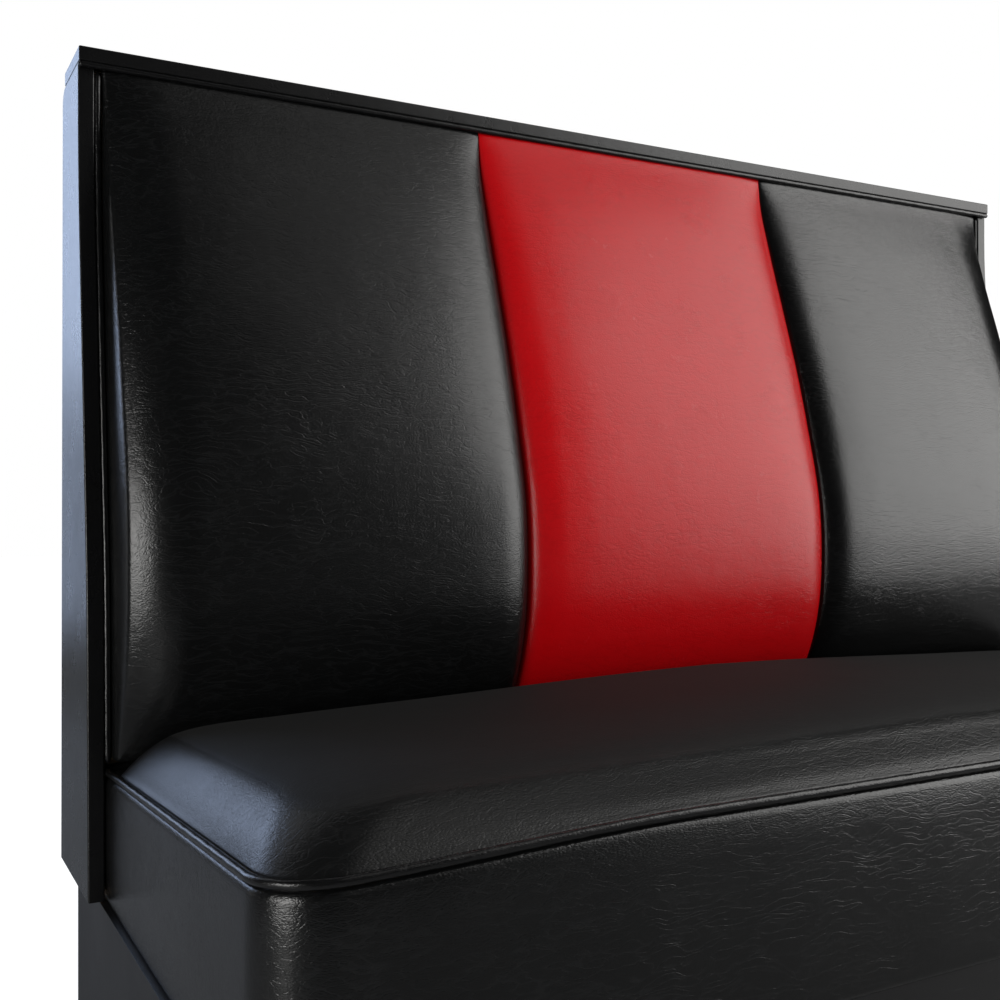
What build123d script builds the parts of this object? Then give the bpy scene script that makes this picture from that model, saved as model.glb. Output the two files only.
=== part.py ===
from build123d import *
from math import cos, radians, sin, tan
import os

# Restaurant booth bench with a three-channel padded back, in millimetres.
# +X is the booth's right seen from the front, -Y its front and +Z up.
# The origin is on the floor, at the centre of the outer box.

# Whole booth
width = 1168.0
height = 1067.0
depth = 593.0

# Gaps and cuts
fit_gap = 0.3
slide_gap = 0.4
hole_gap = 0.3
overrun = 20.0

# Top cap and welts
cap_thickness = 12.7
cap_depth = 79.0
cap_setback = 102.5
cap_welt_diameter = 5.6
cap_welt_proud = 0.9
welt_diameter = 6.0

# End boards
end_board_thickness = 14.0
end_board_lift = 4.0
board_top_setback = 5.0
board_knee_forward = 39.0
board_foot_forward = 45.0
lower_knee_share = 0.36
upper_knee_share = 0.87
knee_radius_share = 2.7
rear_lean = 10.0
rear_round = 16.0

# Padded back channels
channel_names = ("left", "center", "right")
channel_clear = 1.1
seam_gap = 0.4
lumbar_forward = 96.0
channel_crown = 22.0
seam_roll = 26.0
side_roll = 46.0
side_roll_drop = 26.0
top_padding = 8.6
foot_padding = 31.7
shoulder_share = 0.74
seat_top_share = 0.10
level_shares = (0.0, 0.04, seat_top_share, 0.18, 0.27, 0.365, 0.485, 0.60, 0.725, 0.85, 0.94, 0.985, 1.0)
valley_shares = (0.58, 0.67, 0.83, 0.96, 1.0, 0.965, 0.80, 0.61, 0.365, 0.12, -0.025, -0.12, -0.16)
crown_shares = (0.45, 0.72, 0.92, 1.0, 1.0, 1.0, 1.0, 0.97, 0.92, 0.82, 0.55, 0.26, 0.18)

# Back frame
back_board_thickness = 9.0
frame_board = 19.0
outside_board_thickness = 9.0
rail_height = 64.0
rail_names = ("lower", "upper")
rail_height_shares = (0.33, 0.72)

# Base
base_height = 325.0
base_board = 18.0
base_side_inset = 12.0
base_rear_inset = 22.0
toe_recess = 60.0
ledge_size = 38.0
corner_block_size = 40.0
corner_block_length = 160.0

# Glides
glide_diameter = 24.0
glide_height = 5.0
glide_edge = 1.2
glide_inset = 55.0
glide_pin_diameter = 3.0
glide_pin_length = 18.0

# Bolts that hold the back frame to the base
bolt_diameter = 8.0
bolt_end = 3.6
bolt_head_across = 13.0
bolt_head_height = 5.3
washer_diameter = 18.0
washer_thickness = 1.6
nut_flange_diameter = 22.0
nut_flange_thickness = 1.8
nut_barrel_diameter = 11.0
nut_barrel_length = 10.0
bolt_place_shares = (-0.84, -0.28, 0.28, 0.84)

# Seat box
seat_tilt = 3.5
seat_rear_gap = 1.5
seat_rest_gap = 0.4
seat_rear_rise = 110.0
seat_corner_radius = 45.0
seat_welt_proud = 1.5
border_thickness = 5.0
border_edge_round = 3.0
deck_thickness = 12.0
vent_diameter = 28.0
vent_rows = 2
vents_per_row = 5
seat_block_size = 62.0
cross_rail_share = 0.34

# Seat cushion
cushion_height = 56.0
cushion_roll = 48.0
cushion_draw_in = 6.0
cushion_rear_corner = 16.0
corner_growth_share = 0.35
roll_rise_shares = (0.0, 0.12, 0.26, 0.42, 0.56, 0.66, 0.74)
roll_inset_shares = (0.0, 0.03, 0.15, 0.31, 0.5, 0.7, 0.98)
roll_rear_shares = (0.6, 0.56, 0.5, 0.4, 0.29, 0.19, 0.1)
crown_rise_shares = (0.83, 0.93, 1.0)
crown_side_shares = (0.14, 0.26, 0.36)
crown_front_shares = (0.167, 0.287, 0.38)
crown_rear_shares = (0.006, 0.025, 0.093)

# Places that follow from the sizes above
half_width = width / 2
front_y = -depth / 2
rear_y = depth / 2
cap_front_y = rear_y - cap_setback
cap_bottom_z = height - cap_thickness
inner_x = half_width - end_board_thickness
board_bottom_z = base_height + end_board_lift
board_height = cap_bottom_z - board_bottom_z
lower_knee_z = board_bottom_z + board_height * lower_knee_share
upper_knee_z = board_bottom_z + board_height * upper_knee_share
knee_radius = (upper_knee_z - lower_knee_z) * knee_radius_share

channels_half = inner_x - welt_diameter - fit_gap
channel_pitch = 2 * channels_half / len(channel_names)
seam_places = [channel_pitch * i - channels_half for i in range(1, len(channel_names))]

back_board_foot_y = cap_front_y - lumbar_forward * valley_shares[0] + foot_padding
back_board_top_y = cap_front_y - lumbar_forward * valley_shares[-1] + top_padding
stile_foot_y = back_board_foot_y + back_board_thickness
top_plate_bottom_z = cap_bottom_z - frame_board
sole_top_z = base_height + frame_board

base_half = half_width - base_side_inset
base_inner_half = base_half - base_board
base_front_y = front_y + toe_recess
base_rear_y = rear_y - base_rear_inset
base_inner_front_y = base_front_y + base_board
base_inner_rear_y = base_rear_y - base_board
ledge_front_y = base_inner_rear_y - ledge_size
ledge_bottom_z = base_height - ledge_size
bolt_y = base_inner_rear_y - ledge_size / 2
bolt_length = washer_thickness + frame_board + ledge_size + nut_flange_thickness + bolt_end
bolt_places = [(base_inner_half * share, bolt_y) for share in bolt_place_shares]
glide_ys = (base_front_y + glide_inset, base_rear_y - glide_inset)

seat_rear_y = stile_foot_y - seat_rear_gap
seat_front_y = front_y + seat_welt_proud
seat_half = inner_x - slide_gap - seat_welt_proud
seat_bottom_z = base_height + seat_rest_gap
seat_rear_z = seat_bottom_z + seat_rear_rise
seat_normal = (0, sin(radians(seat_tilt)), cos(radians(seat_tilt)))
seat_plane = Plane(origin=(0, seat_rear_y, seat_rear_z), x_dir=(1, 0, 0), z_dir=seat_normal)
welt_radius = welt_diameter / 2
welt_inset = welt_radius - seat_welt_proud
deck_inset = border_thickness + fit_gap
deck_half = seat_half - deck_inset
deck_front_y = seat_front_y + deck_inset
seat_top_level = level_shares.index(seat_top_share)
seat_top_valley = lumbar_forward * valley_shares[seat_top_level]
seat_top_crown = channel_crown * crown_shares[seat_top_level]
cushion_rear_y = cap_front_y - seat_top_valley - seat_top_crown - fit_gap
cushion_length = cushion_rear_y - seat_front_y
deck_at_cushion_z = seat_rear_z + (seat_rear_y - cushion_rear_y) * tan(radians(seat_tilt))
channel_bottom_z = deck_at_cushion_z + welt_radius + channel_clear
channel_top_z = cap_bottom_z - fit_gap


def rear_face_y(z):
    """Rear face of the back, which leans forward as it rises."""
    return rear_y - rear_lean * (z - board_bottom_z) / board_height


def outside_inner_y(z):
    """Inner face of the board that closes the rear."""
    return rear_face_y(z) - outside_board_thickness


def back_board_front_y(z):
    """Front face of the raked board behind the padding."""
    rise_share = (z - channel_bottom_z) / (cap_bottom_z - channel_bottom_z)
    return back_board_foot_y + (back_board_top_y - back_board_foot_y) * rise_share


def back_board_rear_y(z):
    return back_board_front_y(z) + back_board_thickness


def box_between(low, high):
    """Upright box between two opposite corners."""
    size = [high[i] - low[i] for i in range(len(low))]
    centre = [(high[i] + low[i]) / 2 for i in range(len(low))]
    return Pos(*centre) * Box(*size)


def side_plane(x):
    """Plane square to X whose own axes run along +Y and +Z."""
    return Plane(origin=(x, 0, 0), x_dir=(0, 1, 0), z_dir=(1, 0, 0))


def plank(outline, x_low, x_high):
    """Board with a side outline of (y, z) points, from x_low to x_high."""
    face = make_face(Polyline(*outline, close=True))
    return extrude(side_plane(x_low) * face, x_high - x_low)


def post(x, y, z, diameter, length):
    """Upright round bar standing on (x, y, z)."""
    return Pos(x, y, z + length / 2) * Cylinder(diameter / 2, length)


def mirror_x(shape):
    return mirror(shape, about=Plane.YZ)


# Top cap and its welt
def make_top_cap():
    low = (-half_width, cap_front_y, cap_bottom_z)
    return box_between(low, (half_width, cap_front_y + cap_depth, height))


def make_cap_welt():
    """Round welt under the front edge of the cap, over the full width."""
    radius = cap_welt_diameter / 2
    centre_y = cap_front_y - cap_welt_proud + radius
    start = side_plane(-half_width) * Pos(centre_y, cap_bottom_z - radius)
    return extrude(start * Circle(radius), width)


# End boards and their welts
def board_front_points(bottom_z, top_z):
    """Front edge of an end board, from the bottom up: foot, two knees and top."""
    top_y = cap_front_y + board_top_setback
    knee_y = cap_front_y - board_knee_forward
    foot_lean = board_foot_forward - board_knee_forward
    foot_y = knee_y - foot_lean * (lower_knee_z - bottom_z) / (lower_knee_z - board_bottom_z)
    return [(foot_y, bottom_z), (knee_y, lower_knee_z), (top_y, upper_knee_z), (top_y, top_z)]


def make_end_board():
    """Left end board: front edge with two soft knees, rounded top rear corner."""
    front = board_front_points(board_bottom_z, cap_bottom_z)
    rear = [(rear_face_y(cap_bottom_z), cap_bottom_z), (rear_y, board_bottom_z)]
    corner_radii = [0, knee_radius, knee_radius, 0, rear_round, 0]
    outline = FilletPolyline(*front, *rear, radius=corner_radii, close=True)
    return extrude(side_plane(-half_width) * make_face(outline), end_board_thickness)


def make_back_welt():
    """Left side welt, sewn along the inner front edge of the end board."""
    radius = welt_radius - fit_gap / 2
    centre_x = -inner_x + welt_radius
    points = board_front_points(channel_bottom_z, cap_bottom_z - cap_welt_diameter - fit_gap)
    path = FilletPolyline(*[(centre_x, y + radius, z) for y, z in points], radius=knee_radius)
    section = Plane(origin=path @ 0, z_dir=path % 0) * Circle(radius)
    return sweep(section, path=path)


# Padded back
def channel_section(x_low, x_high, level, low_roll, high_roll):
    """Plan section of a channel: flat back, straight sides, a front of three arcs.
    Each roll is its width and how far behind the seam line it starts."""
    z = channel_bottom_z + (channel_top_z - channel_bottom_z) * level_shares[level]
    valley_y = cap_front_y - lumbar_forward * valley_shares[level]
    crown = channel_crown * crown_shares[level]
    back_y = back_board_front_y(z) - fit_gap
    shoulder_y = valley_y - crown * shoulder_share
    low_start = (x_low, valley_y + low_roll[1] * crown_shares[level], z)
    high_start = (x_high, valley_y + high_roll[1] * crown_shares[level], z)
    low_shoulder = (x_low + low_roll[0], shoulder_y, z)
    high_shoulder = (x_high - high_roll[0], shoulder_y, z)
    middle = ((low_shoulder[0] + high_shoulder[0]) / 2, valley_y - crown, z)
    crown_arc = ThreePointArc(low_shoulder, middle, high_shoulder)
    low_arc = TangentArc(low_shoulder, low_start, tangent=-(crown_arc % 0))
    high_arc = TangentArc(high_shoulder, high_start, tangent=crown_arc % 1)
    sides = Polyline(high_start, (x_high, back_y, z), (x_low, back_y, z), low_start)
    return make_face(crown_arc + high_arc + sides + low_arc)


def make_channel(x_low, x_high, low_roll, high_roll):
    """Padded channel lofted upwards: it swells over the lumbar and thins to the cap."""
    levels = range(len(level_shares))
    return loft([channel_section(x_low, x_high, level, low_roll, high_roll) for level in levels])


def make_channels():
    """Three equal channels; the outer sides have a larger roll than the seams."""
    channels = {}
    last = len(channel_names) - 1
    for place, name in enumerate(channel_names):
        x_low = channel_pitch * place - channels_half + seam_gap / 2
        x_high = x_low + channel_pitch - seam_gap
        low_roll = (side_roll, side_roll_drop) if place == 0 else (seam_roll, 0)
        high_roll = (side_roll, side_roll_drop) if place == last else (seam_roll, 0)
        channels["back_channel_" + name] = make_channel(x_low, x_high, low_roll, high_roll)
    return channels


# Back frame
def make_back_board():
    """Raked plywood board that carries the padding."""
    outline = [
        (back_board_foot_y, channel_bottom_z),
        (back_board_top_y, cap_bottom_z),
        (back_board_rear_y(cap_bottom_z), cap_bottom_z),
        (back_board_rear_y(channel_bottom_z), channel_bottom_z),
    ]
    return plank(outline, -inner_x, inner_x)


def make_top_plate():
    """Flat board under the cap, rounded along its top rear edge."""
    points = [
        (back_board_rear_y(top_plate_bottom_z), top_plate_bottom_z),
        (back_board_rear_y(cap_bottom_z), cap_bottom_z),
        (rear_face_y(cap_bottom_z), cap_bottom_z),
        (rear_face_y(top_plate_bottom_z), top_plate_bottom_z),
    ]
    outline = FilletPolyline(*points, radius=[0, 0, rear_round, 0], close=True)
    return extrude(side_plane(-inner_x) * make_face(outline), 2 * inner_x)


def make_stile(x_low):
    """Upright of the back frame: raked front, leaning rear, square foot."""
    outline = [
        (stile_foot_y, sole_top_z),
        (stile_foot_y, channel_bottom_z),
        (back_board_rear_y(top_plate_bottom_z), top_plate_bottom_z),
        (outside_inner_y(top_plate_bottom_z), top_plate_bottom_z),
        (outside_inner_y(sole_top_z), sole_top_z),
    ]
    return plank(outline, x_low, x_low + frame_board)


def make_stiles():
    stiles = {"back_stile_left": make_stile(-inner_x)}
    stiles["back_stile_right"] = make_stile(inner_x - frame_board)
    for name, seam_x in zip(("mid_left", "mid_right"), seam_places):
        stiles["back_stile_" + name] = make_stile(seam_x - frame_board / 2)
    return stiles


def make_back_rail(height_share):
    """Row of short rails between the stiles, behind the raked board."""
    low_z = channel_bottom_z + (top_plate_bottom_z - channel_bottom_z) * height_share
    high_z = low_z + rail_height
    outline = [
        (back_board_rear_y(low_z), low_z),
        (back_board_rear_y(high_z), high_z),
        (back_board_rear_y(high_z) + frame_board, high_z),
        (back_board_rear_y(low_z) + frame_board, low_z),
    ]
    starts = [frame_board - inner_x] + [x + frame_board / 2 for x in seam_places]
    ends = [x - frame_board / 2 for x in seam_places] + [inner_x - frame_board]
    return Compound([plank(outline, *span).solid() for span in zip(starts, ends)])


def make_outside_board():
    """Board that closes the rear of the back between the end boards."""
    outline = [
        (outside_inner_y(board_bottom_z), board_bottom_z),
        (outside_inner_y(top_plate_bottom_z), top_plate_bottom_z),
        (rear_face_y(top_plate_bottom_z), top_plate_bottom_z),
        (rear_y, board_bottom_z),
    ]
    return plank(outline, -inner_x, inner_x)


def bolt_holes(low_z, high_z, diameter):
    """Cutters for one clearance hole at each bolt."""
    wide = diameter + 2 * hole_gap
    return [post(x, y, low_z, wide, high_z - low_z) for x, y in bolt_places]


def make_sole_plate():
    """Flat board under the stiles, bolted down to the ledge of the base."""
    high = (inner_x, outside_inner_y(sole_top_z), sole_top_z)
    plate = box_between((-inner_x, stile_foot_y, base_height), high)
    return plate - bolt_holes(base_height - overrun, sole_top_z + overrun, bolt_diameter)


# Base
def glide_holes(x):
    """Cutters for the glide pins in the bottom edge of a board centred on x."""
    wide = glide_pin_diameter + 2 * hole_gap
    length = glide_pin_length + hole_gap + overrun
    return [post(x, y, glide_height - overrun, wide, length) for y in glide_ys]


def make_base_side():
    """Left side of the base."""
    low = (-base_half, base_front_y, glide_height)
    side = box_between(low, (-base_inner_half, base_rear_y, base_height))
    return side - glide_holes(base_board / 2 - base_half)


def make_base_front():
    low = (-base_inner_half, base_front_y, glide_height)
    return box_between(low, (base_inner_half, base_inner_front_y, base_height))


def make_base_rear():
    low = (-base_inner_half, base_inner_rear_y, glide_height)
    return box_between(low, (base_inner_half, base_rear_y, base_height))


def make_base_partition():
    """Middle board of the base, notched at its top rear corner for the ledge."""
    low = (-base_board / 2, base_inner_front_y, glide_height)
    board = box_between(low, (base_board / 2, base_inner_rear_y, base_height))
    notch_high = (base_board, base_inner_rear_y + overrun, base_height + overrun)
    notch = box_between((-base_board, ledge_front_y, ledge_bottom_z), notch_high)
    return board - notch - glide_holes(0)


def make_base_ledge():
    """Square rail along the top of the rear board, which takes the bolts."""
    low = (-base_inner_half, ledge_front_y, ledge_bottom_z)
    ledge = box_between(low, (base_inner_half, base_inner_rear_y, base_height))
    ledge = ledge - bolt_holes(ledge_bottom_z - overrun, base_height + overrun, bolt_diameter)
    barrel_top_z = ledge_bottom_z + nut_barrel_length + hole_gap
    return ledge - bolt_holes(ledge_bottom_z - overrun, barrel_top_z, nut_barrel_diameter)


def make_corner_blocks():
    """Glued blocks inside the four corners of the base, under the level of the ledge."""
    low_z = ledge_bottom_z - corner_block_length
    blocks = []
    for y_low in (base_inner_front_y, base_inner_rear_y - corner_block_size):
        y_high = y_low + corner_block_size
        low = (-base_inner_half, y_low, low_z)
        block = box_between(low, (corner_block_size - base_inner_half, y_high, ledge_bottom_z))
        blocks += [block.solid(), mirror_x(block).solid()]
    return Compound(blocks)


def make_glides():
    """Nail-in glides: a domed foot with a pin in the edge of the board above."""
    foot = chamfer(Cylinder(glide_diameter / 2, glide_height).edges().sort_by(Axis.Z)[0], glide_edge)
    foot = Pos(0, 0, glide_height / 2) * foot
    glide = foot + post(0, 0, glide_height, glide_pin_diameter, glide_pin_length)
    board_x = base_half - base_board / 2
    places = [(x, y) for x in (-board_x, 0, board_x) for y in glide_ys]
    return Compound([(Pos(x, y, 0) * glide).solid() for x, y in places])


# Bolts, washers and nuts
def make_bolts():
    """Hexagon bolts, heads up, through the sole plate and the ledge."""
    head_z = sole_top_z + washer_thickness
    head_radius = bolt_head_across / 2
    head = extrude(Pos(0, 0, head_z) * RegularPolygon(head_radius, 6, major_radius=False), bolt_head_height)
    bolt = head + post(0, 0, head_z - bolt_length, bolt_diameter, bolt_length)
    return Compound([(Pos(x, y, 0) * bolt).solid() for x, y in bolt_places])


def make_washers():
    ring = post(0, 0, sole_top_z, washer_diameter, washer_thickness)
    bore = post(0, 0, sole_top_z - overrun, bolt_diameter + 2 * hole_gap, 2 * overrun)
    washer = ring - bore
    return Compound([(Pos(x, y, 0) * washer).solid() for x, y in bolt_places])


def make_flange_nuts():
    """Nuts whose flange bears under the ledge and whose barrel sits in its hole."""
    flange_z = ledge_bottom_z - nut_flange_thickness
    flange = post(0, 0, flange_z, nut_flange_diameter, nut_flange_thickness)
    barrel = post(0, 0, ledge_bottom_z, nut_barrel_diameter, nut_barrel_length)
    bore = post(0, 0, flange_z - overrun, bolt_diameter + hole_gap, nut_barrel_length + 2 * overrun)
    nut = flange + barrel - bore
    return Compound([(Pos(x, y, 0) * nut).solid() for x, y in bolt_places])


# Seat box
def seat_block(inset, rear_y_limit):
    """Upright block inside the seat's outline, with its two rounded front corners."""
    half = seat_half - inset
    points = [
        (-half, rear_y_limit),
        (-half, seat_front_y + inset),
        (half, seat_front_y + inset),
        (half, rear_y_limit),
    ]
    radius = seat_corner_radius - inset
    outline = FilletPolyline(*points, radius=[0, radius, radius, 0], close=True)
    return extrude(Pos(0, 0, seat_bottom_z) * make_face(outline), height - seat_bottom_z)


def below_seat_plane(offset):
    """All that lies below the plane at this offset from the tilted top of the deck."""
    return seat_plane * Pos(0, 0, offset - height / 2) * Box(width, 2 * depth, height)


def make_seat_border():
    """Padded skin round the front and sides, open at the rear, with a soft lower edge."""
    shell = seat_block(0, seat_rear_y)
    bottom_edges = shell.faces().sort_by(Axis.Z)[0].edges()
    rear_edge = bottom_edges.sort_by(Axis.Y)[-1]
    shell = fillet([edge for edge in bottom_edges if edge != rear_edge], border_edge_round)
    shell = shell - seat_block(border_thickness, seat_rear_y + overrun)
    return shell & below_seat_plane(-welt_radius - fit_gap / 2)


def make_seat_welt():
    """Round welt on the upper edge of the border: side, rounded corner, front, side."""
    half = seat_half - welt_inset
    front = -(seat_rear_y - seat_front_y - welt_inset) / cos(radians(seat_tilt))
    radius = seat_corner_radius - welt_inset
    points = [(-half, 0), (-half, front), (half, front), (half, 0)]
    path = seat_plane * FilletPolyline(*points, radius=radius)
    section = Plane(origin=path @ 0, z_dir=path % 0) * Circle(welt_radius)
    return sweep(section, path=path)


def make_seat_deck():
    """Tilted plywood deck under the cushion, with air holes."""
    slab = seat_block(deck_inset, seat_rear_y) & below_seat_plane(0)
    slab = slab - below_seat_plane(-deck_thickness)
    x_step = 2 * deck_half / vents_per_row
    y_step = (cushion_rear_y - deck_front_y) / vent_rows
    for column in range(vents_per_row):
        for row in range(vent_rows):
            x = x_step * column + x_step / 2 - deck_half
            y = y_step * row + y_step / 2 + deck_front_y
            slab = slab - post(x, y, seat_bottom_z, vent_diameter, height - seat_bottom_z)
    return slab


def under_deck(shape):
    return shape & below_seat_plane(-deck_thickness)


def rail_between(x_low, x_high, y_low, y_high):
    """Rail of the seat frame, from the bottom of the seat up to the deck."""
    return under_deck(box_between((x_low, y_low, seat_bottom_z), (x_high, y_high, height)))


def make_seat_rails():
    """Rails of the seat frame; the cross rails run from the front rail to the rear one."""
    side_inner = deck_half - frame_board
    block_rear_y = deck_front_y + seat_block_size
    front_inner_y = deck_front_y + frame_board
    rear_inner_y = seat_rear_y - frame_board
    front_half = deck_half - seat_block_size
    cross_x = deck_half * cross_rail_share
    rails = {
        "seat_front_rail": rail_between(-front_half, front_half, deck_front_y, front_inner_y),
        "seat_rear_rail": rail_between(-side_inner, side_inner, rear_inner_y, seat_rear_y),
        "seat_side_rail_left": rail_between(-deck_half, -side_inner, block_rear_y, seat_rear_y),
        "seat_cross_rail_left": rail_between(-cross_x - frame_board, -cross_x, front_inner_y, rear_inner_y),
    }
    rails["seat_side_rail_right"] = mirror_x(rails["seat_side_rail_left"])
    rails["seat_cross_rail_right"] = mirror_x(rails["seat_cross_rail_left"])
    return rails


def make_seat_corner_block():
    """Left front corner block, rounded to back the corner of the border."""
    x_high = seat_block_size - deck_half
    y_high = deck_front_y + seat_block_size
    corner = box_between((-deck_half, deck_front_y, seat_bottom_z), (x_high, y_high, height))
    return under_deck(seat_block(deck_inset, seat_rear_y) & corner)


# Seat cushion
def cushion_section(rise, side_inset, front_inset, rear_inset):
    """Section of the cushion at this rise above the deck: a rectangle with rounded corners."""
    half = seat_half - side_inset
    front = (seat_front_y + front_inset - seat_rear_y) / cos(radians(seat_tilt))
    rear = (cushion_rear_y - rear_inset - seat_rear_y) / cos(radians(seat_tilt))
    front_radius = seat_corner_radius + front_inset * corner_growth_share
    rear_radius = cushion_rear_corner + rear_inset * corner_growth_share
    points = [(-half, rear), (-half, front), (half, front), (half, rear)]
    corner_radii = [rear_radius, front_radius, front_radius, rear_radius]
    outline = FilletPolyline(*points, radius=corner_radii, close=True)
    return seat_plane * Pos(0, 0, rise) * make_face(outline)


def make_seat_cushion():
    """Crowned cushion: a broad rolled edge that slopes up from the welt, and a gentle crown."""
    edge = []
    for rise_share, inset_share, rear_share in zip(roll_rise_shares, roll_inset_shares, roll_rear_shares):
        inset = cushion_draw_in + cushion_roll * inset_share
        rear_inset = -cushion_roll * rear_share
        edge.append(cushion_section(cushion_height * rise_share, inset, inset, rear_inset))
    crown = [edge[-1]]
    crown_tables = (crown_rise_shares, crown_side_shares, crown_front_shares, crown_rear_shares)
    for rise_share, side_share, front_share, rear_share in zip(*crown_tables):
        insets = (2 * seat_half * side_share, cushion_length * front_share, cushion_length * rear_share)
        crown.append(cushion_section(cushion_height * rise_share, *insets))
    return loft(edge) + loft(crown)


def make_back():
    """Everything above the base that stays still."""
    parts = {
        "top_cap": make_top_cap(),
        "cap_welt": make_cap_welt(),
        "end_board_left": make_end_board(),
        "back_welt_left": make_back_welt(),
        "back_board": make_back_board(),
        "back_top_plate": make_top_plate(),
        "back_sole_plate": make_sole_plate(),
        "outside_back_board": make_outside_board(),
    }
    parts["end_board_right"] = mirror_x(parts["end_board_left"])
    parts["back_welt_right"] = mirror_x(parts["back_welt_left"])
    parts.update(make_channels())
    parts.update(make_stiles())
    for name, share in zip(rail_names, rail_height_shares):
        parts["back_rails_" + name] = make_back_rail(share)
    return parts


def make_base():
    parts = {
        "base_side_left": make_base_side(),
        "base_front_board": make_base_front(),
        "base_rear_board": make_base_rear(),
        "base_partition": make_base_partition(),
        "base_ledge": make_base_ledge(),
        "base_corner_blocks": make_corner_blocks(),
        "base_glides": make_glides(),
        "back_bolts": make_bolts(),
        "back_bolt_washers": make_washers(),
        "back_bolt_nuts": make_flange_nuts(),
    }
    parts["base_side_right"] = mirror_x(parts["base_side_left"])
    return parts


def make_seat():
    """The seat, which pulls forward as one piece."""
    parts = {
        "seat_cushion": make_seat_cushion(),
        "seat_welt": make_seat_welt(),
        "seat_border": make_seat_border(),
        "seat_deck": make_seat_deck(),
        "seat_corner_block_left": make_seat_corner_block(),
    }
    parts["seat_corner_block_right"] = mirror_x(parts["seat_corner_block_left"])
    parts.update(make_seat_rails())
    return parts


os.makedirs("parts", exist_ok=True)
for node, shape in {**make_back(), **make_base(), **make_seat()}.items():
    export_step(shape, "parts/" + node + ".step")
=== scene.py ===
import math

import bmesh
import bpy
import numpy as np
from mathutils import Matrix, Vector


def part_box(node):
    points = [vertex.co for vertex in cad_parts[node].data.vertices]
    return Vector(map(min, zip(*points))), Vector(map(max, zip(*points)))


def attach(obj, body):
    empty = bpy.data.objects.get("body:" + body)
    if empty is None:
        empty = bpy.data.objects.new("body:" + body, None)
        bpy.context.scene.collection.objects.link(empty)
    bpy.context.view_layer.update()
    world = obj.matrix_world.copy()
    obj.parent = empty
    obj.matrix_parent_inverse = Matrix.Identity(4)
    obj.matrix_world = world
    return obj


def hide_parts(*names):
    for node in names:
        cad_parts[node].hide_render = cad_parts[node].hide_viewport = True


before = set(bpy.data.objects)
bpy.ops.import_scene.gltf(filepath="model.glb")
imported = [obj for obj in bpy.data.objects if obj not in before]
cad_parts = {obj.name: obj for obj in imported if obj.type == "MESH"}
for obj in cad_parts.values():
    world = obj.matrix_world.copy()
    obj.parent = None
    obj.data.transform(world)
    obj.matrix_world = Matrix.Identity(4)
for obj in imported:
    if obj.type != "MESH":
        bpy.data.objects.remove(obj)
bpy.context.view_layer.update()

# Restaurant booth bench: a black vinyl back with one red channel, a welted
# seat that pulls forward, and a recessed base. Metres, +Z up, front at -Y.


# The studio: a level camera ahead of the left end, a pale floor, a tall softbox at the
# right, a small one and a low strip at the left, a faint one above and two cool ones behind.
# Dark cards stand between them, seen in gloss only.
camera_data = bpy.data.cameras.new("camera")
camera_data.lens = 42.6
camera_data.sensor_width = 36.0
camera = bpy.data.objects.new("camera", camera_data)
camera.location = (-0.7567, -0.8898, 0.669)
camera.rotation_euler = (math.radians(90), 0, math.radians(-28.64))
bpy.context.scene.collection.objects.link(camera)
bpy.context.scene.camera = camera
bpy.context.scene.view_settings.view_transform = "Standard"


def new_material(name):
    """An empty material, its node tree and its Principled shader."""
    material = bpy.data.materials.new(name)
    material.use_nodes = True
    tree = material.node_tree
    shader = tree.nodes["Principled BSDF"]
    return material, tree, shader


def seen_directly(tree):
    """Mask of 1 for what the camera, gloss and glass look at, 0 for light on the piece."""
    rays = tree.nodes.new("ShaderNodeLightPath")
    gloss = tree.nodes.new("ShaderNodeMath")
    gloss.operation = "MAXIMUM"
    tree.links.new(rays.outputs["Is Camera Ray"], gloss.inputs[0])
    tree.links.new(rays.outputs["Is Glossy Ray"], gloss.inputs[1])
    either = tree.nodes.new("ShaderNodeMath")
    either.operation = "MAXIMUM"
    tree.links.new(gloss.outputs[0], either.inputs[0])
    tree.links.new(rays.outputs["Is Transmission Ray"], either.inputs[1])
    return either.outputs[0]


world = bpy.data.worlds.new("studio")
world.use_nodes = True
bpy.context.scene.world = world
world_tree = world.node_tree
daylight = world_tree.nodes["Background"]
daylight.inputs["Color"].default_value = (0.93, 0.96, 1.0, 1)
daylight.inputs["Strength"].default_value = 0.42
white = world_tree.nodes.new("ShaderNodeBackground")
white.inputs["Color"].default_value = (1, 1, 1, 1)
white.inputs["Strength"].default_value = 1.0
which_world = world_tree.nodes.new("ShaderNodeMixShader")
world_tree.links.new(seen_directly(world_tree), which_world.inputs["Fac"])
world_tree.links.new(daylight.outputs[0], which_world.inputs[1])
world_tree.links.new(white.outputs[0], which_world.inputs[2])
world_tree.links.new(which_world.outputs[0], world_tree.nodes["World Output"].inputs["Surface"])

bpy.ops.mesh.primitive_circle_add(vertices=96, radius=14, fill_type="NGON", location=(0, 0, -0.0004))
floor = bpy.context.object
floor.name = "floor"
floor_material, floor_tree, floor_shader = new_material("floor_white")
floor_shader.inputs["Roughness"].default_value = 0.8
floor_shader.inputs["Specular IOR Level"].default_value = 0.1
speckle = floor_tree.nodes.new("ShaderNodeTexNoise")
speckle.inputs["Scale"].default_value = 3.0
speckle_tone = floor_tree.nodes.new("ShaderNodeMix")
speckle_tone.data_type = "RGBA"
speckle_tone.inputs["A"].default_value = (0.86, 0.86, 0.86, 1)
speckle_tone.inputs["B"].default_value = (0.9, 0.9, 0.9, 1)
floor_tree.links.new(speckle.outputs["Fac"], speckle_tone.inputs["Factor"])
floor_tree.links.new(speckle_tone.outputs["Result"], floor_shader.inputs["Base Color"])
paper = floor_tree.nodes.new("ShaderNodeEmission")
paper.inputs["Strength"].default_value = 1.45
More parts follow.
